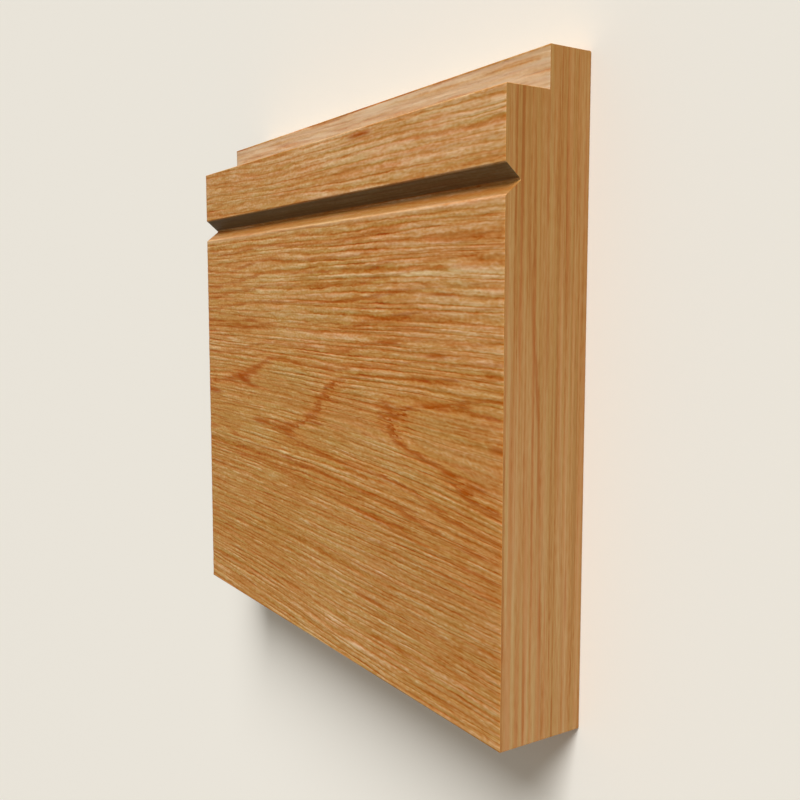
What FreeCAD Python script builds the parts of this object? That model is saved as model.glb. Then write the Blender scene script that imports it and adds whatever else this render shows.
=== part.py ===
# A short length of moulded oak skirting board, lying on its back with its moulded face up.
# X runs along the length, Y up the board's height to the moulded edge, and Z out of the front face.
# The origin is at the middle of the back face, which is the plane Z = 0. Sizes are in millimetres.

import FreeCAD
import Part
import math
import os

# The sawn and planed board
length = 142.0
height = 130.0
thickness = 20.0

# The step along the top edge, cut out of the front
step_depth = 10.0
step_height = 8.0

# The V groove in the front face, below the step
groove_drop = 24.5  # from the top edge down to the middle of the groove
groove_width = 6.0
groove_depth = 3.6  # down to the point where the two flanks would meet
groove_root_radius = 0.2  # left by the nose of the cutter

# Every long outer edge is eased with a few strokes of abrasive
arris_radius = 0.3


def board_section():
    """The corners of the section as (y, z, radius), starting at the foot of the back face."""
    foot = -height / 2
    top = height / 2
    front = thickness
    ledge = top - step_height
    tongue_front = front - step_depth
    groove_middle = top - groove_drop
    return [
        (foot, 0.0, arris_radius),
        (foot, front, arris_radius),
        (groove_middle - groove_width / 2, front, arris_radius),
        (groove_middle, front - groove_depth, groove_root_radius),
        (groove_middle + groove_width / 2, front, arris_radius),
        (ledge, front, arris_radius),
        (ledge, tongue_front, 0.0),
        (top, tongue_front, arris_radius),
        (top, 0.0, arris_radius),
    ]


def eased_corner(before, corner, after, radius):
    """Where a corner's arc starts, its middle and where it ends, tangent to the two sides that meet there."""
    to_before = (before - corner).normalize()
    to_after = (after - corner).normalize()
    half_angle = to_before.getAngle(to_after) / 2
    tangent = radius / math.tan(half_angle)
    bisector = (to_before + to_after).normalize()
    middle = corner + bisector * (radius / math.sin(half_angle) - radius)
    return corner + to_before * tangent, middle, corner + to_after * tangent


def outline(corners):
    """A closed wire in the plane X = 0, of straight sides with an arc at each corner that has a radius."""
    points = [FreeCAD.Vector(0, y, z) for y, z, _ in corners]
    bends = []
    for i, (_, _, radius) in enumerate(corners):
        after = points[(i + 1) % len(points)]
        if radius > 0:
            bends.append(eased_corner(points[i - 1], points[i], after, radius))
        else:
            bends.append((points[i], None, points[i]))
    edges = []
    for i, (start, middle, end) in enumerate(bends):
        edges.append(Part.LineSegment(bends[i - 1][2], start).toShape())
        if middle is not None:
            edges.append(Part.Arc(start, middle, end).toShape())
    return Part.Wire(edges)


def skirting_board():
    """The one piece: the moulded section, run along the whole length and sawn square at both ends."""
    section = Part.Face(outline(board_section()))
    section.translate(FreeCAD.Vector(-length / 2, 0, 0))
    return section.extrude(FreeCAD.Vector(length, 0, 0))


os.makedirs("parts", exist_ok=True)
board = skirting_board()
board.exportStep("parts/skirting_board.step")
print(f"skirting_board: {board.Volume / 1000:.2f} cm3, {len(board.Faces)} faces, valid {board.isValid()}")
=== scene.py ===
import math

import bpy
import numpy as np
from mathutils import Matrix, Vector


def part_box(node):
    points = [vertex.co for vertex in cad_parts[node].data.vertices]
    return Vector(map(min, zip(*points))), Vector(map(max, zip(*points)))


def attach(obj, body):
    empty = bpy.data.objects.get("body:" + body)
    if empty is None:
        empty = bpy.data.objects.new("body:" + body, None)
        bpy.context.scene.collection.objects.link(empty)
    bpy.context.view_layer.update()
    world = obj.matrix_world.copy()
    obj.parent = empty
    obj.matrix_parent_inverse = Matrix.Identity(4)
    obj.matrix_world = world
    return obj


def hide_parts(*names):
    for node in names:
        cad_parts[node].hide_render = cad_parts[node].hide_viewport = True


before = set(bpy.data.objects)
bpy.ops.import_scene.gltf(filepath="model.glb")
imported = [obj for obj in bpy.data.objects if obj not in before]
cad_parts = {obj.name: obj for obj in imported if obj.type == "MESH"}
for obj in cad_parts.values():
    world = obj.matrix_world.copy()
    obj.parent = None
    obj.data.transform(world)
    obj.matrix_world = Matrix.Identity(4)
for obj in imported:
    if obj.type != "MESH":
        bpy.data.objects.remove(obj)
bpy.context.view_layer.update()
lowCorner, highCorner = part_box("skirting_board")
mm = 0.001  # metres
print("The packed board is in")

# Lengths are in millimetres from here on, unless a note says metres. Colours are sRGB, 0 to 255.
boardLength, boardHeight, boardThickness = (highCorner - lowCorner) / mm

board = {
    "stepDepth": 10.0,
    "stepHeight": 8.0,
    "grooveDrop": 24.5,  # from the top edge to the middle of the groove
    "grooveWidth": 6.0,
    "grooveDepth": 3.6,  # to the point where the flanks would meet
    "rootRadius": 0.2,
    "arrisRadius": 0.3,
    "lipRadius": 0.6,  # of the groove's lower lip
    "arcSteps": 5,  # from one end of an arc to the other
    "endEasing": 0.08,  # the sawn ends are only just taken off
    "endSteps": 2,
    "sharpAngle": 50.0,  # degrees between two faces, from which their edge is sharp
    # The wood is paler along the groove's lower lip, and a highlight is painted there too: how strongly,
    # how far under it, and how wide
    "paleShare": 1.05,
    "paleBelow": 0.12,
    "paleReach": 0.52,
    # How much weaker that is at the near end than at the far one, as a share of the middle
    "paleDrift": 1.4,
    "paintedShadeDrift": 0.2,  # the same for the painted shade on the groove's upper flank
    "lengthPitch": 1.15,  # between two stations along the length
    "lineDepth": 0.03,  # from a line's crest down to its foot
    "streakDepth": 0.09,  # from the high streaks down to the low ones
    "streakLift": 0.25,  # the share of that depth for each step of the streaks' tone
}

# How far apart the section's points are on each stretch
stretchPitch = {
    "foot": 1.4,
    "face": 0.24,
    "lowerFlank": 0.4,
    "upperFlank": 0.4,
    "strip": 0.24,
    "ledge": 0.7,
    "tongueFront": 0.25,
    "topEdge": 0.8,
    "back": 2.6,
}

# How much of the grain's relief each stretch has: the groove was cut last, and the arrises are sanded
stretchRelief = {
    "foot": 0.0,
    "face": 1.0,
    "lowerFlank": 0.2,
    "upperFlank": 0.2,
    "strip": 1.0,
    "ledge": 0.0,
    "tongueFront": 0.8,
    "topEdge": 0.0,
    "back": 0.0,
    "arris": 0.15,
}


# The section

def sectionCorners():
    # Each corner is (y, z, radius, name of the stretch that leaves it), round from the back of the foot
    foot = -boardHeight / 2
    top = boardHeight / 2
    front = boardThickness
    ledge = top - board["stepHeight"]
    tongueFront = front - board["stepDepth"]
    middle = top - board["grooveDrop"]
    halfGroove = board["grooveWidth"] / 2
    arris = board["arrisRadius"]
    return [
        (foot, 0.0, arris, "foot"),
        (foot, front, arris, "face"),
        (middle - halfGroove, front, board["lipRadius"], "lowerFlank"),
        (middle, front - board["grooveDepth"], board["rootRadius"], "upperFlank"),
        (middle + halfGroove, front, arris, "strip"),
        (ledge, front, arris, "ledge"),
        (ledge, tongueFront, 0.0, "tongueFront"),
        (top, tongueFront, arris, "topEdge"),
        (top, 0.0, arris, "back"),
    ]


def unit(vectors):
    return vectors / np.linalg.norm(vectors, axis=-1, keepdims=True)


def sectionLoop():
    # Straight stretches joined by arcs. An arc of radius r leaves a side r / tan(half angle) from
    # the corner, and turns about the point r / sin(half angle) along the corner's bisector.
    # Returns each point's (y, z), its outward normal, and the name of its stretch or "arris".
    corners = sectionCorners()
    places = np.array([corner[:2] for corner in corners])
    ahead = unit(np.roll(places, -1, axis=0) - places)
    outward = np.stack([-ahead[:, 1], ahead[:, 0]], axis=1)
    halfAngles = [math.acos(float(-ahead[i - 1] @ ahead[i])) / 2 for i in range(len(corners))]
    cuts = [corner[2] / math.tan(halfAngle) for corner, halfAngle in zip(corners, halfAngles)]
    points, normals, names = [], [], []
    for i, (_, _, radius, name) in enumerate(corners):
        both = outward[i - 1] + outward[i]
        if radius == 0:
            points.append(places[i : i + 1])
            normals.append([both / (1 + outward[i - 1] @ outward[i])])  # keeps to both sides' planes
            names.append([name])
        else:
            centre = places[i] + unit(ahead[i] - ahead[i - 1]) * radius / math.sin(halfAngles[i])
            share = np.linspace(0, 1, board["arcSteps"] + 1)[:, None]
            turn = unit(outward[i - 1] * (1 - share) + outward[i] * share)
            side = np.sign((places[i] - centre) @ both)
            points.append(centre + turn * radius * side)
            normals.append(turn)
            names.append(["arris"] * len(share))
        following = (i + 1) % len(corners)
        start = places[i] + ahead[i] * cuts[i]
        end = places[following] - ahead[i] * cuts[following]
        count = max(2, round(float(np.linalg.norm(end - start)) / stretchPitch[name]))
        share = np.linspace(0, 1, count + 1)[1:-1, None]
        points.append(start * (1 - share) + end * share)
        normals.append(np.repeat(outward[i : i + 1], len(share), axis=0))
        names.append([name] * len(share))
    return np.concatenate(points), np.concatenate(normals), np.concatenate(names)


# The wood

wood = {
    "slope": 0.02,  # the fibres drop this much for each millimetre to the right
    # Under the cathedral figure the fibres turn down further to the right of bendStart
    "bendSlope": 0.065,
    "bendHeight": -20.0,
    "bendReach": 11.0,
    "bendStart": -10.0,
    "bendLength": 50.0,
    # Waves of the fibres: (length, width, how far they move, seed)
    "waves": [(64.0, 24.0, 1.0, 11), (24.0, 6.0, 0.3, 12), (9.0, 2.2, 0.06, 13)],
    "depthSeed": 100,  # added to a wave's seed for its way through the thickness
    # Above this height on the face the grain is coarser: how gradually, and by how much
    "openAbove": 12.0,
    "openReach": 3.0,
    "openShare": 0.2,
    "linePitch": 1.3,  # from one raised line of grain to the next
    "lineLean": 0.8,  # how much the lines' order goes on with the depth, beside the height
    # How the lines wander: (length, width, share of a pitch, seed)
    "lineWander": [(80.0, 2.2, 1.3, 31), (34.0, 1.1, 0.28, 32), (9.0, 1.3, 0.2, 33)],
    "lineCrest": 0.56,  # where in its pitch a line is highest
    # How strong the lines are: (length, width, weight, seed)
    "boldness": [(50.0, 9.0, 0.5, 41), (16.0, 1.5, 0.8, 42), (5.0, 0.8, 0.8, 43)],
    "boldBase": 0.62,
    "contrastLimits": (0.3, 1.4),  # of plain and of marked wood
    "ringWidth": 2.4,
    "pithDistance": 26.0,  # in front of the moulded face
    "pithHeight": -7.0,
    "tipSpacing": 36.0,  # along the board, from one cathedral tip to the next
    "firstTip": 68.0,
    "taperReach": 22.0,  # how far from the pith's height the tips reach
    "spanLimits": (0.5, 14.0),  # of how far a ring goes on
    # Points that a growth ring passes through on the face: (x, y, ring, strength of its line)
    "ringPoints": [
        (74.0, -8.7, 0, 0.5), (29.5, -5.0, 1, 0.45), (31.8, -7.0, 1, 0.85), (34.6, -9.4, 1, 0.85),
        (38.0, -3.4, 1, 0.85), (46.0, -2.2, 1, 0.85), (54.0, -1.4, 1, 0.85), (61.0, -0.1, 1, 0.77),
        (72.0, 0.8, 1, 0.51), (38.0, -11.0, 1, 0.85), (45.7, -12.9, 1, 0.77), (55.0, -15.4, 1, 0.77),
        (60.5, -18.5, 1, 0.85), (72.0, -20.6, 1, 0.77),
        (-24.0, -13.4, 2, 0.71), (-18.9, -13.0, 2, 0.9), (-12.0, -11.9, 2, 0.69), (-6.0, -9.7, 2, 0.75),
        (-1.1, -7.4, 2, 0.75), (0.6, -5.4, 2, 0.75), (4.5, -2.1, 2, 0.9), (7.5, -0.1, 2, 0.9),
        (12.0, 1.3, 2, 0.64), (19.6, 2.0, 2, 0.48), (30.0, 2.8, 2, 0.4), (44.0, 3.4, 2, 0.3),
        (58.0, 4.1, 2, 0.3),
        (72.0, 4.8, 2, 0.3), (-15.0, -15.2, 2, 0.56), (-10.6, -16.1, 2, 0.64), (-3.0, -17.1, 2, 0.72),
        (4.5, -18.0, 2, 0.72), (14.3, -18.2, 2, 0.64), (26.0, -18.8, 2, 0.56), (36.4, -19.6, 2, 0.64),
        (46.0, -21.3, 2, 0.48), (54.0, -23.4, 2, 0.48), (63.4, -24.9, 2, 0.42), (72.0, -26.0, 2, 0.36),
        (-71.0, -4.8, 3, 0.42), (-60.0, -3.6, 3, 0.77), (-52.0, -2.2, 3, 0.85), (-44.0, -0.8, 3, 0.6),
        (-38.0, 0.6, 3, 0.6), (-34.0, 2.0, 3, 0.6), (-30.0, 3.4, 3, 0.85), (-24.0, 4.7, 3, 0.77),
        (-17.4, 4.4, 3, 0.59), (-3.0, 3.5, 3, 0.51), (12.0, 3.4, 3, 0.26), (30.0, 4.8, 3, 0.17),
        (56.0, 6.3, 3, 0.17),
        (72.0, 7.4, 3, 0.17), (-71.0, -17.8, 3, 0.42), (-50.0, -18.6, 3, 0.51), (-30.0, -20.3, 3, 0.26),
        (0.0, -22.0, 3, 0.42), (30.0, -24.0, 3, 0.59), (60.0, -28.6, 3, 0.51),
        (-71.0, 4.8, 4, 0.48), (-60.0, 4.9, 4, 0.42), (-48.0, 5.8, 4, 0.06), (-36.0, 7.8, 4, 0.06),
        (-18.0, 8.4, 4, 0.06), (0.0, 8.0, 4, 0.06), (20.0, 9.4, 4, 0.24), (31.0, 10.3, 4, 0.54),
        (50.0, 11.0, 4, 0.18),
        (-60.0, -22.0, 4, 0.24), (-30.0, -23.5, 4, 0.36), (0.0, -26.0, 4, 0.3),
        (-71.0, 12.4, 5, 0.49), (-40.0, 12.5, 5, 0.56), (-18.0, 12.4, 5, 0.35), (0.0, 11.9, 5, 0.49),
        (12.0, 12.8, 5, 0.63), (22.0, 14.3, 5, 0.7), (32.0, 15.6, 5, 0.56), (50.0, 17.0, 5, 0.21),
        (-71.0, 23.8, 8, 0.39), (-56.6, 24.6, 8, 0.44), (-40.0, 25.9, 8, 0.39), (-24.2, 27.0, 8, 0.44),
        (-56.0, 27.7, 9, 0.48), (-46.0, 28.8, 9, 0.42), (-37.7, 29.8, 9, 0.48), (-30.0, 30.3, 9, 0.54),
        (-18.0, 29.5, 9, 0.48), (1.5, 29.2, 9, 0.48), (20.0, 29.6, 9, 0.24),
        (-66.0, -10.0, 2.75, 0.1), (-50.0, -10.0, 2.6, 0.1), (-36.0, -8.0, 2.5, 0.1),
        (-25.0, -4.0, 2.45, 0.1), (-12.0, -3.0, 2.4, 0.1), (8.0, -8.0, 1.6, 0.1), (20.0, -8.0, 1.3, 0.2),
    ],
    "farStrength": 0.12,  # of the ring lines away from those points
    "strengthReach": 5.0,
    # How far across the grain a ring point bends the rings, first and for what is left; along it, twice
    "ringReaches": [(9.0, 0.15), (4.0, 0.05)],
    # Streaks of tone: (length, width, weight, seed)
    "streaks": [(46.0, 9.0, 0.9, 21), (34.0, 2.4, 0.75, 22), (18.0, 1.1, 0.9, 23), (6.0, 0.7, 0.8, 24),
                (2.6, 0.5, 0.9, 25)],
    # Dark dashes of a ring that is only just cut: (x, y, half their length, half their width, strength)
    "dashes": [
        (-67.0, -7.0, 5.0, 0.7, 0.9), (-56.0, -3.0, 5.0, 0.7, 0.7), (-50.0, -1.9, 5.0, 0.9, 0.7),
        (-45.0, -1.2, 4.5, 1.1, 0.8), (-40.0, 0.2, 4.5, 0.8, 0.8), (-36.5, 1.5, 3.5, 0.6, 0.8),
        (-43.5, -2.7, 3.0, 0.6, 0.9), (-39.0, -3.7, 4.0, 0.4, 0.9), (-30.0, 3.2, 4.0, 0.5, 0.6),
        (-66.0, 4.8, 6.0, 0.4, 0.7), (-33.0, -13.0, 5.5, 0.8, 0.8), (-16.3, -12.4, 4.0, 0.9, 0.8),
        (0.4, -3.9, 2.8, 0.4, 0.7), (0.3, -5.6, 1.3, 0.9, 0.8), (-2.8, -8.0, 2.6, 0.4, 0.6),
        (-4.5, -9.2, 3.6, 0.55, 0.8), (-2.2, -10.3, 4.0, 0.4, 0.8), (-10.5, -11.3, 2.6, 0.4, 0.7),
        (34.4, -5.8, 1.8, 0.8, 0.6), (33.0, -4.9, 3.0, 0.4, 0.7), (69.8, -8.2, 2.6, 0.7, 0.65),
        (39.0, -3.3, 2.6, 0.35, 0.5), (51.5, -2.2, 3.0, 0.35, 0.7), (58.5, -1.2, 3.0, 0.45, 0.7),
        (37.0, -11.0, 2.6, 0.4, 1.0), (42.5, -12.3, 3.4, 0.4, 0.9), (48.0, -13.4, 3.4, 0.4, 0.9),
        (54.5, -14.8, 2.8, 0.5, 1.0), (63.0, -16.3, 3.4, 0.6, 0.7), (60.0, -17.6, 2.2, 0.9, 0.7),
        (68.0, -20.2, 3.0, 0.4, 0.7),
        (-40.0, 14.3, 4.5, 0.4, 0.8), (-55.0, 12.4, 16.0, 0.35, 0.7), (-68.0, 14.2, 4.0, 0.4, 0.7),
        (19.0, 13.0, 9.0, 0.6, 0.4), (27.0, 14.9, 6.0, 0.7, 0.4), (40.0, 13.3, 9.0, 0.4, 0.6),
        (31.0, 10.3, 5.5, 0.5, 0.8), (50.0, 8.2, 3.6, 0.5, 0.7), (52.5, 20.3, 4.0, 0.35, 0.8),
        (-65.0, 23.9, 6.0, 0.4, 0.7), (24.0, -47.9, 6.5, 0.35, 0.8),
        (20.0, 55.5, 5.0, 0.6, 0.9), (56.0, 30.6, 5.0, 0.5, 0.35), (36.0, -24.2, 7.0, 0.35, 0.7),
    ],
    # Where the wood is plainer, or more marked: (x, y, half the length, half the width, change)
    "calms": [
        (-24.0, -3.0, 18.0, 4.5, -0.47), (18.0, -9.0, 14.0, 5.0, -0.36), (57.0, -9.0, 16.0, 5.0, -0.3),
        (-52.0, -14.0, 18.0, 5.0, -0.35), (-5.0, -17.0, 12.0, 4.0, -0.3), (40.0, 24.0, 50.0, 11.0, 0.12),
        (0.0, 24.0, 70.0, 12.0, -0.1), (0.0, -45.0, 110.0, 18.0, -0.14), (66.0, 0.0, 26.0, 70.0, -0.12),
        (10.0, 50.0, 70.0, 9.0, -0.15), (60.0, 27.0, 34.0, 16.0, -0.05), (-52.0, 49.0, 30.0, 7.0, -0.12),
        (-50.0, 24.0, 30.0, 12.0, -0.16),
    ],
    # Broad marks: (x, y, half their length, half their width, how much lighter)
    "marks": [
        (-54.0, 13.5, 17.0, 1.1, -1.6), (20.0, 13.8, 14.0, 1.5, -1.0), (24.0, 25.1, 47.0, 0.6, 3.6),
        (46.0, -40.5, 20.0, 2.6, -1.3), (-40.0, -39.0, 26.0, 0.45, -1.8), (-8.0, -41.6, 14.0, 0.4, -1.2),
        (-6.0, -39.2, 12.0, 0.4, 1.8), (-50.0, -61.3, 22.0, 0.8, -1.6), (-10.0, -23.6, 22.0, 1.0, -1.2),
        (-32.0, -19.6, 40.0, 0.8, 2.5), (-58.0, -28.0, 12.0, 0.6, 1.4), (-18.0, 2.2, 11.0, 0.9, 2.0),
        (0.0, 8.4, 5.0, 0.5, 2.4), (-18.0, 32.6, 19.0, 0.45, 2.0), (-16.0, 25.6, 7.0, 0.9, 1.4),
        (57.0, 24.6, 20.0, 1.0, 2.2), (45.0, 22.9, 18.0, 0.7, 1.4), (32.0, 53.0, 75.0, 9.0, 3.15),
        (0.0, -20.0, 95.0, 34.0, -1.1),
        (60.0, 26.0, 26.0, 12.0, 1.0), (-52.0, -42.0, 36.0, 24.0, -0.8),
        (-50.0, 32.0, 36.0, 26.0, 0.8),
    ],
    # Where the hue turns to red, or to olive: (x, y, half the length, half the width, turn)
    "turns": [
        (20.0, 50.0, 60.0, 9.0, 4.0), (0.0, -40.0, 110.0, 24.0, -3.5), (-40.0, 20.0, 44.0, 16.0, -2.0),
        (-55.0, -16.0, 24.0, 5.0, -2.5), (-20.0, 0.5, 17.0, 3.2, -5.0),
        (0.0, -13.0, 14.0, 2.6, -3.0), (-35.0, -19.7, 38.0, 0.8, -4.0), (24.0, 24.9, 46.0, 0.9, -1.5),
        (76.0, -25.0, 16.0, 40.0, 2.5), (20.0, 10.0, 70.0, 6.0, 2.5), (50.0, 31.0, 34.0, 5.5, 3.5),
        (-62.0, 28.0, 24.0, 6.0, 2.5), (-70.0, 12.0, 14.0, 6.0, 2.0), (0.0, 36.5, 60.0, 1.5, -2.0),
        (34.0, -6.5, 6.0, 3.6, 4.0), (66.0, -16.5, 7.0, 2.2, 4.0), (24.0, -47.9, 9.0, 0.9, 4.0),
        (38.0, 24.0, 38.0, 8.0, 1.5),
    ],
    # Where the wood has more blue, or less: (x, y, half the length, half the width, share)
    "blues": [
        (56.0, -42.0, 36.0, 20.0, 0.12), (8.0, -42.0, 30.0, 20.0, 0.04), (-50.0, -8.0, 26.0, 10.0, -0.06),
        (30.0, 50.0, 64.0, 9.0, -0.04),
    ],
}


def gradientNoise(points, seed):
    # Random unit slopes stand at the whole-number places. Each of a point's eight neighbours gives
    # its slope times the way from it, blended by 6t^5 - 15t^4 + 10t^3 along each axis.
    tableSize = 256
    random = np.random.default_rng(seed)
    slopes = unit(random.normal(size=(tableSize, 3)))
    shuffle = random.permutation(tableSize)
    cell = np.floor(points).astype(int)
    part = points - cell
    ease = part**3 * (part * (part * 6 - 15) + 10)
    total = np.zeros(points.shape[:-1])
    for step in np.ndindex(2, 2, 2):
        x, y, z = np.moveaxis((cell + step) % tableSize, -1, 0)
        slope = slopes[shuffle[(shuffle[(shuffle[x] + y) % tableSize] + z) % tableSize]]
        weight = np.prod(np.where(step, ease, 1 - ease), axis=-1)
        total += weight * np.sum(slope * (part - step), axis=-1)
    return total


def stretched(points, length, width):
    return points / np.array([length, width, width])


def bendAlong(x):
    # The integral of a smooth step from 0 at bendStart to 1 a bendLength further on
    share = np.clip((x - wood["bendStart"]) / wood["bendLength"], 0, 1)
    beyond = np.maximum(x - wood["bendStart"] - wood["bendLength"], 0)
    return wood["bendLength"] * (share**3 - share**4 / 2) + beyond


def fibreCoordinates(points):
    # A point's own place, moved across the fibres so that the fibres are straight lines in the
    # coordinates that come out: by the slope, by the bend, and by waves that are long along them.
    moved = points.copy()
    x, y = points[..., 0], points[..., 1]
    bend = np.exp(-(((y - wood["bendHeight"]) / wood["bendReach"]) ** 2)) * wood["bendSlope"]
    moved[..., 1] += wood["slope"] * x + bend * bendAlong(x)
    for length, width, reach, seed in wood["waves"]:
        place = stretched(points, length, width)
        moved[..., 1] += reach * gradientNoise(place, seed)
        moved[..., 2] += reach * gradientNoise(place, seed + wood["depthSeed"])
    return moved


def plainRings(x, y, depth):
    # Rings are circles about the pith, so a ring's number is the distance from the pith over the
    # ring's width. The tree's taper moves them by one ring for each tip spacing along the board.
    across = y - wood["pithHeight"]
    radius = np.hypot(across, wood["pithDistance"] + depth)
    near = np.exp(-((across / wood["taperReach"]) ** 2))
    taper = (x - wood["firstTip"]) / wood["tipSpacing"] * near
    return (radius - wood["pithDistance"]) / wood["ringWidth"] - taper


def ringField(points, fibres):
    # The plain rings, plus a bend that takes each ring through its own points on the face: sums of
    # bells about those points, with heights that solve for the ring numbers still wanted there.
    knots = np.array(wood["ringPoints"])
    places = np.concatenate([knots[:, :2], np.full((len(knots), 1), boardThickness)], axis=1)
    knotFibres = fibreCoordinates(places)

    def bells(x, y, reach):
        bellLength = 2  # widths
        apart = np.hypot((x[..., None] - knots[:, 0]) / bellLength, y[..., None] - knots[:, 1])
        return np.exp(-((apart / reach) ** 2))

    x, y, z = np.moveaxis(points, -1, 0)
    rings = plainRings(x, fibres[..., 1], boardThickness - z)
    wanted = knots[:, 2] - plainRings(knots[:, 0], knotFibres[:, 1], 0.0)
    for reach, softening in wood["ringReaches"]:
        atKnots = bells(knots[:, 0], knots[:, 1], reach)
        heights = np.linalg.solve(atKnots + softening * np.eye(len(knots)), wanted)
        wanted = wanted - atKnots @ heights
        rings = rings + bells(x, y, reach) @ heights

    # A place's strength is the mean of the points' strengths, each by its own bell there
    near = bells(x, y, wood["strengthReach"])
    farWeight = 0.05
    strength = (near @ knots[:, 3] + farWeight * wood["farStrength"]) / (near.sum(axis=-1) + farWeight)
    return rings, strength


def ringSpan(points, rings):
    # How far a ring goes on, in millimetres, which is one over the slope of the ring numbers. A way
    # along the fibres counts for a third, so a line is three times as wide there. The second value
    # is 0 where the line runs along the fibres, and 1 where it crosses them.
    alongWeight = 3
    along = alongWeight * (np.gradient(rings, axis=0) / np.gradient(points[..., 0], axis=0))
    ahead, behind = np.roll(points, -1, axis=1), np.roll(points, 1, axis=1)
    apart = np.linalg.norm(ahead - behind, axis=-1)
    across = (np.roll(rings, -1, axis=1) - np.roll(rings, 1, axis=1)) / apart
    slope = np.hypot(along, across)
    return np.clip(1 / slope, *wood["spanLimits"]), np.abs(along) / slope


def sumOfNoise(points, layers):
    total = np.zeros(points.shape[:-1])
    for length, width, weight, seed in layers:
        total += weight * gradientNoise(stretched(points, length, width), seed)
    return total


def markField(fibres, marks):
    # Each mark is a bell about its place, long along the fibres and narrow across them
    total = np.zeros(fibres.shape[:-1])
    for x, y, halfLength, halfWidth, change in marks:
        centre = fibreCoordinates(np.array([x, y, boardThickness]))
        along = (fibres[..., 0] - centre[0]) / halfLength
        across = np.hypot(fibres[..., 1] - centre[1], fibres[..., 2] - centre[2]) / halfWidth
        total += change * np.exp(-(along**4) - across**2)
    return total


def openGrain(fibres):
    # Above openAbove the grain gets coarser: the height there is shrunk by openShare, with
    # reach log(1 + e^(height / reach)) as a ramp without a corner
    height = (fibres[..., 1] - wood["openAbove"]) / wood["openReach"]
    grain = fibres.copy()
    grain[..., 1] -= wood["openShare"] * wood["openReach"] * np.logaddexp(0, height)
    return grain


def lineField(fibres):
    # Each raised line has a whole number where it starts: the place across the grain over the
    # pitch, moved by how the lines wander
    order = (fibres[..., 1] + wood["lineLean"] * fibres[..., 2]) / wood["linePitch"]
    return order + sumOfNoise(fibres, wood["lineWander"])


def lineHeight(lines):
    # A line rises smoothly from 0 to 1 at its crest, a little past the middle of its pitch, and
    # then falls evenly to the next line
    place = lines % 1
    rise = np.clip(place / wood["lineCrest"], 0, 1)
    fall = (place - wood["lineCrest"]) / (1 - wood["lineCrest"])
    return rise * rise * (3 - 2 * rise) - np.clip(fall, 0, 1)


# The mesh

def stationsAlong():
    # Even stations along the length, then a quarter circle at each end: x goes on by e sin(a)
    # while the section shrinks by e (1 - cos(a))
    easing = board["endEasing"]
    straight = boardLength / 2 - easing
    count = round(2 * straight / board["lengthPitch"])
    middle = np.linspace(-straight, straight, count + 1)
    angles = np.linspace(0, math.pi / 2, board["endSteps"] + 1)[1:]
    out = straight + easing * np.sin(angles)
    inset = easing * (1 - np.cos(angles))
    x = np.concatenate([-out[::-1], middle, out])
    return x, np.concatenate([inset[::-1], np.zeros(len(middle)), inset])


def reliefShare(names):
    # Each stretch's share, evened out over a few points so that it doesn't jump at an arris
    share = np.array([stretchRelief[name] for name in names])
    return sum(np.roll(share, step) for step in range(-2, 3)) / 5


def woodLayers(surface):
    # What the wood is like at each point of the surface, and each point's place in the grain
    fibres = fibreCoordinates(surface)
    rings, ringStrength = ringField(surface, fibres)
    span, crossing = ringSpan(surface, rings)
    grain = openGrain(fibres)
    contrast = np.clip(1 + markField(fibres, wood["calms"]), *wood["contrastLimits"])
    bold = np.clip(wood["boldBase"] + sumOfNoise(grain, wood["boldness"]), 0, 1)
    streaks = sumOfNoise(grain, wood["streaks"])
    layers = {
        "ring": rings,
        "ringSpan": span,
        "crossing": crossing,
        "ringStrength": ringStrength,
        "dash": markField(fibres, wood["dashes"]),
        "line": lineField(grain),
        "bold": bold * contrast * np.minimum(contrast, 1),
        "contrast": contrast,
        "turn": markField(fibres, wood["turns"]),
        "blue": markField(fibres, wood["blues"]),
        "streak": streaks / streaks.std() + markField(fibres, wood["marks"]),
    }
    return layers, grain


def stretchLayers(x, loop, names):
    # What only some stretches have: painted shade on the groove's upper flank, the bare wood of the tongue,
    # the pale band and painted highlight along the groove's lower lip, and warm painted shade on the lower
    # flank
    along = x[:, None] / boardLength
    lipHeight = boardHeight / 2 - board["grooveDrop"] - board["grooveWidth"] / 2
    fromBand = (loop[:, 0] - (lipHeight - board["paleBelow"])) / board["paleReach"]
    shape = (len(x), len(loop))
    return {
        # Painted shade on the groove's upper flank, less of it towards the near end
        "stain": (names == "upperFlank") * (1 - board["paintedShadeDrift"] * along),
        "bare": np.broadcast_to(np.isin(names, ["tongueFront", "topEdge"]), shape),
        # Pale wood and a painted highlight along the groove's lower lip, weaker towards the near end
        "lip": board["paleShare"] * np.exp(-(fromBand**2)) * (1 - board["paleDrift"] * along),
        # Painted shade, warm in hue, on the groove's lower flank
        "warm": np.broadcast_to(names == "lowerFlank", shape),
    }


def reliefDepth(layers):
    # How far the surface is set in: between the raised lines, and more along the dark streaks
    lines = board["lineDepth"] * layers["bold"] * (1 - lineHeight(layers["line"]))
    return lines + board["streakDepth"] * np.clip(0.5 - board["streakLift"] * layers["streak"], 0, 1)


def sweptMesh(surface):
    # Quads between each two stations, and one flat face over each sawn end, in the second slot
    rows, columns = surface.shape[:2]
    at = np.arange(rows * columns).reshape(rows, columns)
    around = np.roll(at, -1, axis=1)
    quads = np.stack([at[:-1], at[1:], around[1:], around[:-1]], axis=-1).reshape(-1, 4)
    faces = quads.tolist() + [at[0].tolist(), at[-1, ::-1].tolist()]
    mesh = bpy.data.meshes.new("oak_board")
    mesh.from_pydata((surface * mm).reshape(-1, 3).tolist(), [], faces)
    ends = np.zeros(len(faces), int)
    ends[-2:] = 1
    mesh.polygons.foreach_set("material_index", ends)
    mesh.set_sharp_from_angle(angle=math.radians(board["sharpAngle"]))
    mesh.polygons.foreach_set("use_smooth", ends == 0)
    triangles = 2 * len(quads) + 2 * (columns - 2)
    print(f"Board: {rows} stations, {columns} points round, {triangles} triangles")
    return mesh


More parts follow.
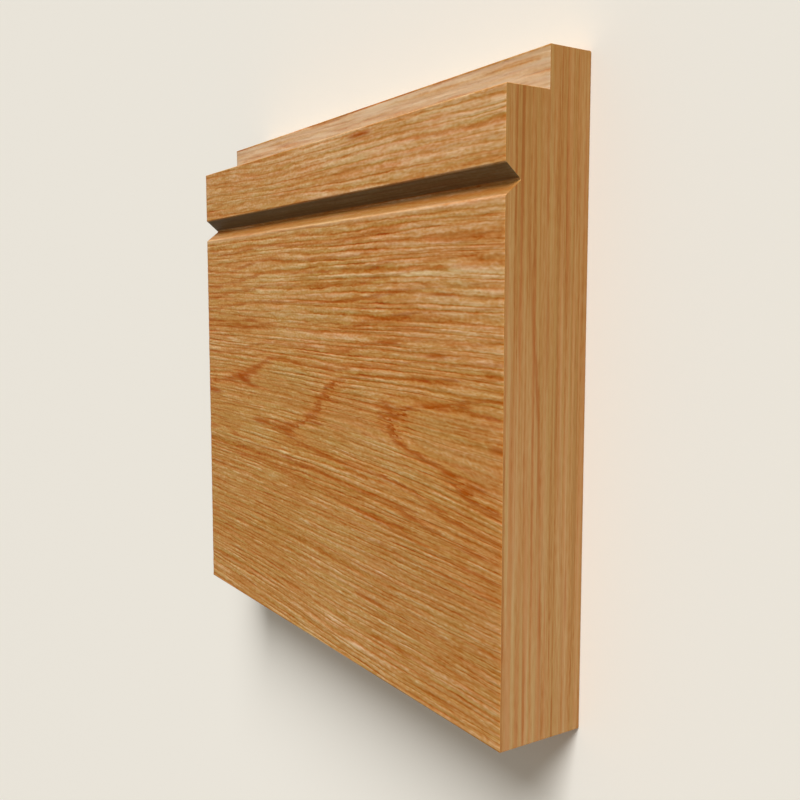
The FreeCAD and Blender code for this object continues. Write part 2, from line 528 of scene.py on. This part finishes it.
def buildBoard():
    # The section carried along the length, each point set in along its own normal by the relief
    loop, normals, names = sectionLoop()
    x, inset = stationsAlong()
    surface = np.empty((len(x), len(loop), 3))
    surface[..., 0] = x[:, None]
    surface[..., 1:] = loop
    layers, grain = woodLayers(surface)
    depth = reliefDepth(layers) * reliefShare(names) + inset[:, None]
    surface[..., 1:] -= normals * depth[..., None]

    mesh = sweptMesh(surface)
    layers.update(stretchLayers(x, loop, names))
    for name, values in layers.items():
        layer = mesh.attributes.new(name, "FLOAT", "POINT")
        layer.data.foreach_set("value", np.ascontiguousarray(values, np.float32).ravel())
    layer = mesh.attributes.new("fibre", "FLOAT_VECTOR", "POINT")
    layer.data.foreach_set("vector", grain.astype(np.float32).ravel())
    mesh.validate()
    piece = bpy.data.objects.new("oak_board", mesh)
    bpy.context.scene.collection.objects.link(piece)
    return piece


# Node helpers

def linear(colour):
    # sRGB 0 to 255 into the linear colour that a socket takes
    share = np.array(colour) / 255
    return (*np.where(share <= 0.04045, share / 12.92, ((share + 0.055) / 1.055) ** 2.4), 1.0)


class Wire:
    # One output socket. Arithmetic on it adds Math nodes to the same tree.
    def __init__(self, graph, socket):
        self.graph = graph
        self.socket = socket

    def __add__(self, other):
        return self.graph.maths("ADD", self, other)

    __radd__ = __add__

    def __sub__(self, other):
        return self.graph.maths("SUBTRACT", self, other)

    def __rsub__(self, other):
        return self.graph.maths("SUBTRACT", other, self)

    def __mul__(self, other):
        return self.graph.maths("MULTIPLY", self, other)

    __rmul__ = __mul__

    def __truediv__(self, other):
        return self.graph.maths("DIVIDE", self, other)

    def __pow__(self, other):
        return self.graph.maths("POWER", self, other)

    def size(self):
        return self.graph.maths("ABSOLUTE", self)

    def part(self):
        return self.graph.maths("FRACT", self)

    def within(self, low, high):
        # 0 below low, 1 above high, and a smooth step between
        return self.graph.node(
            "ShaderNodeMapRange", {"interpolation_type": "SMOOTHSTEP"},
            {"Value": self, "From Min": low, "From Max": high},
        )

    def band(self, rise, fall):
        # From 0 up to 1 across the window rise, and back to 0 across the window fall
        return self.within(*rise) - self.within(*fall)


class Graph:
    # A node tree that is being filled
    def __init__(self, tree):
        self.tree = tree
        tree.nodes.clear()

    def node(self, kind, settings=None, sockets=None, output=0):
        made = self.tree.nodes.new(kind)
        for name, value in (settings or {}).items():
            if name == "stops":
                self.setStops(made.color_ramp, value)
            else:
                setattr(made, name, value)
        for name, value in (sockets or {}).items():
            socket = made.inputs[name]
            if isinstance(value, Wire):
                self.tree.links.new(value.socket, socket)
            else:
                socket.default_value = value
        return Wire(self, made.outputs[output]) if made.outputs else made

    def setStops(self, ramp, stops):
        while len(ramp.elements) < len(stops):
            ramp.elements.new(0.5)
        for element, (place, colour) in zip(ramp.elements, stops):
            element.position = place
            element.color = linear(colour)

    def maths(self, operation, *values):
        return self.node("ShaderNodeMath", {"operation": operation}, dict(enumerate(values)))

    def mix(self, share, first, second, kind="MIX"):
        # Sockets 6 and 7 of a Mix node are its two colours, and output 2 the mixed one
        return self.node(
            "ShaderNodeMix", {"data_type": "RGBA", "blend_type": kind},
            {0: share, 6: first, 7: second}, output=2,
        )

    def attribute(self, name, output="Fac"):
        return self.node("ShaderNodeAttribute", {"attribute_name": name}, output=output)

    def scaled(self, vector, scale):
        return self.node("ShaderNodeVectorMath", {"operation": "MULTIPLY"}, {0: vector, 1: scale})

    def moved(self, vector, reach):
        # The vector with reach added along its second and third axes
        way = self.node("ShaderNodeCombineXYZ", None, {"X": 0.0, "Y": reach, "Z": reach})
        return self.node("ShaderNodeVectorMath", {"operation": "ADD"}, {0: vector, 1: way})

    def noise(self, vector, length, width, detail, roughness):
        # Noise whose cells are length by width millimetres
        cells = (1 / length, 1 / width, 1 / width)
        return self.node(
            "ShaderNodeTexNoise", {"noise_dimensions": "3D"},
            {"Vector": self.scaled(vector, cells), "Scale": 1.0, "Detail": detail, "Roughness": roughness},
        )

    def bump(self, height, distance, under=None):
        # A bump of distance metres for a height of 1, over the bump under it
        sockets = {"Strength": 1.0, "Distance": distance, "Height": height}
        if under is not None:
            sockets["Normal"] = under
        return self.node("ShaderNodeBump", None, sockets)


def newMaterial(name):
    material = bpy.data.materials.new(name)
    material.use_nodes = True
    return material, Graph(material.node_tree)


# Oiled oak

oak = {
    "tones": [
        (0.0, (154, 66, 8)),
        (0.22, (168, 98, 31)),
        (0.42, (180, 120, 58)),
        (0.6, (191, 139, 80)),
        (0.8, (207, 165, 118)),
        (1.0, (222, 186, 144)),
    ],
    "ringLine": (158, 74, 0),
    "pore": (134, 72, 18),
    "rosy": (208, 134, 84),
    "olive": (182, 142, 80),
    "bareWood": (211, 188, 156),
    # The colour of the pale wood and painted highlight along the groove's lower lip
    "lip": (208, 170, 126),
    # The colour of the painted shade on the groove's upper flank
    "stain": (90, 83, 60),
    # The colour of the warm painted shade on the groove's lower flank
    "warm": (145, 94, 43),
    # How much each colour covers of what is under it
    "covers": {"rosy": 0.2, "olive": 0.2, "warm": 0.65, "lip": 0.42, "pore": 0.4, "stain": 0.8},
    "rosyHues": (0.5, 0.72),
    "oliveHues": (0.28, 0.5),
    "bareThreads": (2.0, -0.38),  # the bare wood covers the threads' noise times this, plus this
    "roughness": 0.52,
    "roughnessShares": {"pit": 0.2, "hair": 0.2},
    "specular": 0.05,
    "refraction": 1.46,
    # Noise for each kind of grain: (length, width, octaves after the first, their roughness)
    "grains": {
        "wrinkle": (2.6, 1.5, 2.0, 0.65),
        "thread": (26.0, 0.9, 2.0, 0.5),
        "vein": (24.0, 1.3, 1.0, 0.4),
        "dash": (4.0, 0.7, 1.0, 0.5),
        "hair": (8.0, 0.4, 0.0, 0.5),
        "grit": (1.2, 0.4, 0.0, 0.5),
        "hue": (9.0, 0.9, 2.0, 0.5),
        "tick": (5.0, 0.6, 2.0, 0.6),
        "patch": (7.0, 1.3, 1.0, 0.5),
        "pore": (3.4, 0.3, 0.0, 0.5),
        "broadTurn": (34.0, 6.0, 1.0, 0.5),
        "narrowTurn": (12.0, 2.2, 1.0, 0.5),
    },
    "wrinkle": 0.42,  # how far the wrinkles move the fibres
    "veinWidth": 0.06,
    "veinThreads": (0.35, 0.6),  # veins come only where the threads' noise is above this window
    # Finer lines: how many to a raised one, and how much the threads and the grit move them
    "finer": {"line": 2, "thread": 1.8, "grit": 0.3},
    # On the way from one raised line to the next: the windows where a thing comes and goes
    "bands": {
        "crest": ((0.12, 0.58), (0.58, 0.95)),
        "outOfHollow": ((0.0, 0.24), (0.8, 1.0)),
        "ruddy": ((0.6, 0.85), (0.9, 1.0)),
        "green": ((0.0, 0.1), (0.15, 0.4)),
        "height": ((0.0, 0.58), (0.56, 1.0)),
        "finer": ((0.0, 0.6), (0.6, 1.0)),
    },
    # How much each kind of grain lightens or darkens the wood, in shares of the tones above
    "toneBase": 0.482,
    "toneShares": {"streak": 0.06, "thread": 0.36, "dash": 0.3, "hair": 0.18, "vein": 0.18,
                   "crest": 0.26, "hollow": 0.31, "finer": 0.1, "grit": 0.34, "lip": 0.22},
    "veinMean": 0.04,  # what the veins take away on average, given back
    "finerMean": 0.35,
    # How far the hue turns from olive to red, in steps of the red share less the green one
    "turnReach": {"broad": 6.0, "narrow": 8.0, "thread": 18.0, "line": 8.0, "ring": 7.0},
    "turnBase": -2.4,
    "leastTurn": -10.0,
    "ruddyMean": 0.2,
    "redBeside": 0.45,  # how far beside a dark thread the wood is reddest
    "redPerTurn": 0.0084,
    "greenPerTurn": 0.0064,
    "blueBase": 1.025,
    "haloReach": (0.3, 3.2),  # millimetres from a ring's line, over which its hue fades
    "ringTint": 0.22,  # how much blue the wood loses beside a ring's line
    # A ring's line: how far it runs out along the fibres to either side, where it crosses them
    # and where it doesn't, and the windows, in millimetres, where it comes and goes
    "tickReach": 4.6,
    "tickLeast": 0.6,
    "ringRise": (0.0, 0.5),
    "ringFall": (0.6, 1.4),
    "ringFallCrossing": 0.6,  # how much later it ends where it crosses the fibres
    "patchWindow": (0.35, 0.6),
    "patchBase": 0.6,  # the line's strength in its faint patches
    "patchShare": 0.6,  # how much stronger it is in the others
    # Pits are the pores' noise less a share of the hairs', and most are on the rings' lines
    "pitHair": 0.2,
    "pitWindow": (0.53, 0.62),
    "pitShares": {"early": 0.5, "late": 0.2},
    "heightShares": {"hair": 0.6, "thread": 0.5, "dash": 0.4, "grit": 0.2, "pit": 0.4, "stain": 0.6,
                     "ring": 0.1},
    "fineBump": 0.00005,  # metres
    "lineBump": 0.00002,  # metres
}


def woodColour(graph, tone, hue, look):
    # The look's colour for the tone, a little rosy where the hue's noise is high and olive where low
    colour = graph.node("ShaderNodeValToRGB", {"stops": look["tones"]}, {"Fac": tone})
    rosy = hue.within(*look["rosyHues"]) * look["covers"]["rosy"]
    olive = (1 - hue.within(*look["oliveHues"])) * look["covers"]["olive"]
    colour = graph.mix(rosy, colour, linear(look["rosy"]))
    return graph.mix(olive, colour, linear(look["olive"]))


def finishMaterial(graph, colour, roughness, bump):
    surface = graph.node(
        "ShaderNodeBsdfPrincipled", None,
        {"Base Color": colour, "Roughness": roughness, "Normal": bump, "IOR": oak["refraction"],
         "Specular IOR Level": oak["specular"]},
    )
    graph.node("ShaderNodeOutputMaterial", None, {"Surface": surface})


def oakAlongGrain():
    material, graph = newMaterial("oiled_oak_along_the_grain")
    grains, bands, finerShares = oak["grains"], oak["bands"], oak["finer"]
    ring, span, crossing, ringStrength, ringDash = map(
        graph.attribute, ["ring", "ringSpan", "crossing", "ringStrength", "dash"]
    )
    bold, contrast, streak, stain, bare, lip, warm = map(
        graph.attribute, ["bold", "contrast", "streak", "stain", "bare", "lip", "warm"]
    )

    # Small wrinkles, which neighbouring fibres share, move everything that follows the fibres
    smooth = graph.attribute("fibre", "Vector")
    wrinkle = (graph.noise(smooth, *grains["wrinkle"]) - 0.5) * oak["wrinkle"]
    fibre = graph.moved(smooth, wrinkle)
    line = graph.attribute("line") + wrinkle / wood["linePitch"]

    # Threads, thin dark veins, short dashes, fine hairs and grit along the fibres
    thread = graph.noise(fibre, *grains["thread"])
    vein = 1 - (graph.noise(fibre, *grains["vein"]) - 0.5).size().within(0.0, oak["veinWidth"])
    dash = graph.noise(fibre, *grains["dash"])
    hair = graph.noise(fibre, *grains["hair"])
    grit = graph.noise(fibre, *grains["grit"])
    hue = graph.noise(fibre, *grains["hue"])

    # Finer lines run between the raised ones
    finer = line * finerShares["line"] + thread * finerShares["thread"] + grit * finerShares["grit"]
    finer = finer.part().band(*bands["finer"])

    # Each raised line is pale on its crest and dark in the hollow before the next. It is red just
    # before the hollow, and greener just after it.
    place = line.part()
    crest = place.band(*bands["crest"])
    hollow = 1 - place.band(*bands["outOfHollow"])
    ruddy = place.band(*bands["ruddy"]) - place.band(*bands["green"])

    # A ring's line starts in ticks along the fibres, and fades away behind it
    ticks = graph.noise(fibre, *grains["tick"])
    patches = graph.noise(fibre, *grains["patch"]).within(*oak["patchWindow"])
    patches = oak["patchBase"] + patches * oak["patchShare"]
    ragged = (ticks - 0.5) * (crossing * oak["tickReach"] + oak["tickLeast"])
    gap = (ring + (ragged + oak["tickLeast"]) / span).part() * span
    fallStart, fallEnd = oak["ringFall"]
    early = gap.band(oak["ringRise"], (fallStart, fallEnd + crossing * oak["ringFallCrossing"]))
    early = early * ringStrength * (0.5 + ticks) * patches
    early = graph.maths("MAXIMUM", early, ringDash * (0.5 + ticks))
    early = graph.maths("MINIMUM", early, 1.0)

    shares = oak["toneShares"]
    tone = streak * shares["streak"] + (thread - 0.5) * shares["thread"]
    tone = tone + (dash - 0.5) * shares["dash"] + (hair - 0.5) * shares["hair"]
    tone = tone + oak["veinMean"] - vein * thread.within(*oak["veinThreads"]) * shares["vein"]
    lines = bold * (crest * shares["crest"] - hollow * shares["hollow"])
    tone = oak["toneBase"] + tone * contrast + lines
    tone = tone + (finer - oak["finerMean"]) * shares["finer"] + (grit - 0.5) * shares["grit"]
    # Pale wood and a painted highlight along the groove's lower lip
    tone = tone + lip * shares["lip"]
    colour = woodColour(graph, tone, hue, oak)

    # The hue turns by the marks, towards a ring's line, and with the noise and the raised lines
    reach = oak["turnReach"]
    halo = 1 - (((ring + 0.5).part() - 0.5) * span).size().within(*oak["haloReach"])
    beside = graph.moved(fibre, oak["redBeside"])
    turn = graph.attribute("turn") + halo * ringStrength * reach["ring"] + oak["turnBase"]
    turn = turn + (graph.noise(smooth, *grains["broadTurn"]) - 0.5) * reach["broad"]
    turn = turn + (graph.noise(fibre, *grains["narrowTurn"]) - 0.5) * reach["narrow"]
    turn = turn + (0.5 - graph.noise(beside, *grains["thread"])) * reach["thread"]
    turn = turn + (ruddy - oak["ruddyMean"]) * bold * reach["line"]
    turn = graph.maths("MAXIMUM", turn, oak["leastTurn"])
    blue = graph.attribute("blue") + oak["blueBase"] - halo * ringStrength * oak["ringTint"]
    tint = graph.node(
        "ShaderNodeCombineXYZ", None,
        {"X": 1 + turn * oak["redPerTurn"], "Y": 1 - turn * oak["greenPerTurn"], "Z": blue},
    )
    colour = graph.scaled(colour, tint)

    covers, pitShares = oak["covers"], oak["pitShares"]
    pits = graph.noise(fibre, *grains["pore"]) - hair * oak["pitHair"]
    pits = pits.within(*oak["pitWindow"]) * (early * pitShares["early"] + pitShares["late"])
    bareScale, bareBase = oak["bareThreads"]
    coats = {
        "bareWood": bare * (thread * bareScale + bareBase),
        # Warm painted shade on the groove's lower flank
        "warm": warm * covers["warm"],
        # Pale wood and a painted highlight along the groove's lower lip
        "lip": lip * covers["lip"],
        "ringLine": early,
        "pore": pits * covers["pore"],
        # Painted shade on the groove's upper flank
        "stain": stain * covers["stain"],
    }
    for name, share in coats.items():
        colour = graph.mix(share, colour, linear(oak[name]))

    heights = oak["heightShares"]
    fineHeight = hair * heights["hair"] + thread * heights["thread"] + dash * heights["dash"]
    fineHeight = fineHeight + grit * heights["grit"] - pits * heights["pit"]
    lineHeights = bold * place.band(*bands["height"]) * (1 - stain) - early * heights["ring"]
    bump = graph.bump(fineHeight * (1 - stain * heights["stain"]), oak["fineBump"])
    bump = graph.bump(lineHeights, oak["lineBump"], bump)
    roughShares = oak["roughnessShares"]
    roughness = oak["roughness"] + pits * roughShares["pit"] + (hair - 0.5) * roughShares["hair"]
    finishMaterial(graph, colour, roughness, bump)
    return material


sawnEnd = {
    "lean": 0.03,  # the streaks go this much deeper for each millimetre down the board
    "tones": [(0.2, (156, 101, 53)), (0.4, (169, 123, 72)), (0.6, (175, 134, 86)), (0.85, (182, 147, 101))],
    "rosy": (182, 124, 80),
    "olive": (170, 138, 86),
    "vein": (154, 84, 34),
    "towardsTop": (246, 238, 220),  # the end darkens by this much towards the top edge
    "shadeFrom": -45.0,
    "shadeTo": 62.0,
    "paleDepth": 1.1,  # of a pale streak behind the moulded face
    "paleReach": (0.1, 0.5),  # half its width, where it is whole and where it ends
    # One long red streak, which goes deeper behind the moulded face on its way down the board
    "streakDepth": 5.6,
    "streakTurns": [(25.0, 80.0, 3.2), (78.0, 125.0, 1.0)],  # (from, to, how much deeper)
    "streakWidth": 0.75,
    "streakRagged": 0.9,
    "streakStrength": 2.8,
    # How strong it is on its way: (share of the height from the top, grey from none to full)
    "streakShares": [
        (0.16, (40, 40, 40)), (0.36, (120, 120, 120)), (0.42, (190, 190, 190)), (0.49, (230, 230, 230)),
        (0.545, (150, 150, 150)), (0.61, (200, 200, 200)), (0.67, (90, 90, 90)), (0.76, (60, 60, 60)),
        (0.82, (190, 190, 190)), (0.88, (110, 110, 110)),
    ],
    # Short red streaks: (down from the top edge, depth, half their length, half their width, share)
    "dashRagged": 0.6,
    "dashStrength": 2.2,
    "dashes": [
        (13.0, 10.2, 9.0, 0.5, 0.4), (26.0, 10.1, 9.0, 0.45, 0.7), (25.0, 17.3, 11.0, 0.45, 0.5),
        (52.0, 10.4, 14.0, 0.45, 0.5), (50.0, 3.6, 10.0, 0.4, 0.5), (103.0, 15.8, 8.0, 0.45, 0.5),
        (120.0, 5.6, 15.0, 0.45, 0.6), (98.0, 13.0, 8.0, 0.4, 0.3),
    ],
    # Noise for each kind of streak: (length, width, octaves after the first, their roughness)
    "grains": {
        "streak": (90.0, 0.95, 2.0, 0.5),
        "broad": (130.0, 3.0, 1.0, 0.5),
        "hair": (30.0, 0.34, 1.0, 0.5),
        "tick": (3.0, 0.4, 1.0, 0.5),
        "hue": (60.0, 1.0, 2.0, 0.5),
        "vein": (90.0, 2.6, 1.0, 0.5),
    },
    "lengthShare": 0.05,  # how much a way along the board counts for the noise
    "veinWidth": 0.05,
    "veinPatches": (0.36, 0.56),  # veins come only where the broad noise is above this window
    "veinStrength": 0.6,
    "toneShares": {"streak": 1.5, "broad": 0.4, "hair": 0.5, "pale": 0.14, "tick": 0.5},
    "rosyHues": (0.5, 0.66),
    "oliveHues": (0.34, 0.5),
    "covers": {"rosy": 0.35, "olive": 0.45, "vein": 0.3},
    "heightShares": {"streak": 0.6, "hair": 0.4, "vein": 0.2},
    "roughness": 0.55,
    "hairRoughness": 0.2,
}


def oakEndGrain():
    material, graph = newMaterial("oiled_oak_ends")
    grains = sawnEnd["grains"]
    place = graph.scaled(graph.node("ShaderNodeTexCoord", output="Object"), (1 / mm, 1 / mm, 1 / mm))
    order = graph.node("ShaderNodeSeparateXYZ", None, {"Vector": place})
    x, y, z = (Wire(graph, socket) for socket in order.socket.node.outputs)
    inward = x * sawnEnd["lengthShare"]
    across = z - y * sawnEnd["lean"]
    leaning = graph.node("ShaderNodeCombineXYZ", None, {"X": y, "Y": across, "Z": inward})
    upright = graph.node("ShaderNodeCombineXYZ", None, {"X": y, "Y": z, "Z": inward})
    streaks = graph.noise(upright, *grains["streak"])
    broad = graph.noise(upright, *grains["broad"])
    hair = graph.noise(upright, *grains["hair"])
    ticks = graph.noise(upright, *grains["tick"])
    hue = graph.noise(upright, *grains["hue"])

    # Thin red veins of the noise, the long red streak and the short ones: the strongest shows
    vein = 1 - (graph.noise(leaning, *grains["vein"]) - 0.5).size().within(0.0, sawnEnd["veinWidth"])
    vein = vein * broad.within(*sawnEnd["veinPatches"]) * sawnEnd["veinStrength"]
    down = boardHeight / 2 - y
    depth = boardThickness - z
    path = sawnEnd["streakDepth"]
    for start, end, deeper in sawnEnd["streakTurns"]:
        path = down.within(start, end) * deeper + path
    # The ramp's greys come out linear, and a square root brings them back near to those listed
    stops = {"stops": sawnEnd["streakShares"]}
    strong = graph.node("ShaderNodeValToRGB", stops, {"Fac": down / boardHeight}) ** 0.5
    away = (depth - path + (ticks - 0.5) * sawnEnd["streakRagged"]).size()
    streak = (1 - away.within(0.0, sawnEnd["streakWidth"])) * strong * sawnEnd["streakStrength"]
    vein = graph.maths("MAXIMUM", vein, streak)
    for start, deep, halfLength, halfWidth, share in sawnEnd["dashes"]:
        along = (down - start) / halfLength
        off = (depth - deep + (ticks - 0.5) * sawnEnd["dashRagged"]) / halfWidth
        dash = 1 - (along * along + off * off).within(0.0, 1.0)
        vein = graph.maths("MAXIMUM", vein, dash * share * sawnEnd["dashStrength"])

    shares = sawnEnd["toneShares"]
    fromPale = (z - (boardThickness - sawnEnd["paleDepth"])).size()
    tone = 0.5 + (streaks - 0.5) * shares["streak"] + (broad - 0.5) * shares["broad"]
    tone = tone + (hair - 0.5) * shares["hair"] + (ticks - 0.5) * shares["tick"]
    tone = tone + (1 - fromPale.within(*sawnEnd["paleReach"])) * shares["pale"]
    colour = woodColour(graph, tone, hue, sawnEnd)
    colour = graph.mix(vein * sawnEnd["covers"]["vein"], colour, linear(sawnEnd["vein"]))
    upwards = y.within(sawnEnd["shadeFrom"], sawnEnd["shadeTo"])
    colour = graph.mix(upwards, colour, linear(sawnEnd["towardsTop"]), kind="MULTIPLY")

    heights = sawnEnd["heightShares"]
    height = streaks * heights["streak"] + hair * heights["hair"] - vein * heights["vein"]
    roughness = sawnEnd["roughness"] + (hair - 0.5) * sawnEnd["hairRoughness"]
    finishMaterial(graph, colour, roughness, graph.bump(height, oak["fineBump"]))
    return material


# The stage

stage = {
    "floorColour": (242, 239, 231),
    "floorReach": 4.0,  # metres each way
    "floorDrop": 0.00005,  # metres under the board's back
    "floorRoughness": 0.9,
    "floorSpecular": 0.1,
    "skyColour": (226, 219, 208),
    "skyLight": 0.4,
    "horizonTop": (0.15, 0.5),  # the pale band ends between these heights on a sphere of 1
    "keyFrom": (0.36, 0.79, 0.50),  # the way from the board to the light
    "keySpread": 34.0,  # degrees across
    "keyPower": 3.9,  # watts for each square metre
}

camera = {
    "place": (205.47, 17.91, 127.99),
    "aim": (36.66, -1.55, 20.0),
    "up": (0.0, 1.0, 0.0),  # the board's top edge is up in the picture
    "lens": 43.09,
    "sensor": 36.0,
    "nearest": 0.01,  # metres
}


def buildFloor():
    reach = stage["floorReach"]
    corners = [(-reach, -reach), (reach, -reach), (reach, reach), (-reach, reach)]
    mesh = bpy.data.meshes.new("floor")
    mesh.from_pydata([(x, y, -stage["floorDrop"]) for x, y in corners], [], [(0, 1, 2, 3)])
    floor = bpy.data.objects.new("floor", mesh)
    bpy.context.scene.collection.objects.link(floor)
    material, graph = newMaterial("pale_floor")
    surface = graph.node(
        "ShaderNodeBsdfPrincipled", None,
        {"Base Color": linear(stage["floorColour"]), "Roughness": stage["floorRoughness"],
         "Specular IOR Level": stage["floorSpecular"]},
    )
    graph.node("ShaderNodeOutputMaterial", None, {"Surface": surface})
    mesh.materials.append(material)


def buildSky():
    # Rays that see the studio find a pale band along the horizon, and dim light above it
    world = bpy.data.worlds.new("studio")
    world.use_nodes = True
    bpy.context.scene.world = world
    graph = Graph(world.node_tree)
    seen = graph.node("ShaderNodeLightPath", output="Is Camera Ray")
    for kind in ("Is Glossy Ray", "Is Transmission Ray"):
        seen = graph.maths("MAXIMUM", seen, graph.node("ShaderNodeLightPath", output=kind))
    direction = graph.node("ShaderNodeTexCoord", output="Generated")
    height = graph.node("ShaderNodeSeparateXYZ", None, {"Vector": direction}, output=2)
    low, high = stage["horizonTop"]
    pale = seen * (1 - height.within(low, high))
    strength = stage["skyLight"] + pale * (1 - stage["skyLight"])
    background = graph.node(
        "ShaderNodeBackground", None, {"Color": linear(stage["skyColour"]), "Strength": strength}
    )
    graph.node("ShaderNodeOutputWorld", None, {"Surface": background})


def turnedTo(place, aim, up):
    # Looks along -Z from place to aim, with Y as near to up as it can be
    back = (Vector(place) - Vector(aim)).normalized()
    right = Vector(up).cross(back).normalized()
    turned = Matrix((right, back.cross(right), back)).transposed().to_4x4()
    turned.translation = place
    return turned


def addKeyLight():
    lamp = bpy.data.lights.new("key", "SUN")
    lamp.angle = math.radians(stage["keySpread"])
    lamp.energy = stage["keyPower"]
    key = bpy.data.objects.new("key", lamp)
    key.matrix_world = turnedTo(stage["keyFrom"], (0, 0, 0), (0, 0, 1))
    bpy.context.scene.collection.objects.link(key)


def addCamera():
    lens = bpy.data.cameras.new("camera")
    lens.lens = camera["lens"]
    lens.sensor_width = camera["sensor"]
    lens.clip_start = camera["nearest"]
    view = bpy.data.objects.new("camera", lens)
    view.matrix_world = turnedTo(Vector(camera["place"]) * mm, Vector(camera["aim"]) * mm, camera["up"])
    bpy.context.scene.collection.objects.link(view)
    bpy.context.scene.camera = view


bpy.context.scene.view_settings.view_transform = "Standard"
addCamera()
addKeyLight()
buildSky()
buildFloor()
print("Camera, light and floor are set")

oakBoard = buildBoard()
oakBoard.data.materials.append(oakAlongGrain())
oakBoard.data.materials.append(oakEndGrain())
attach(oakBoard, "root")
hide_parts("skirting_board")
print("The board is finished")
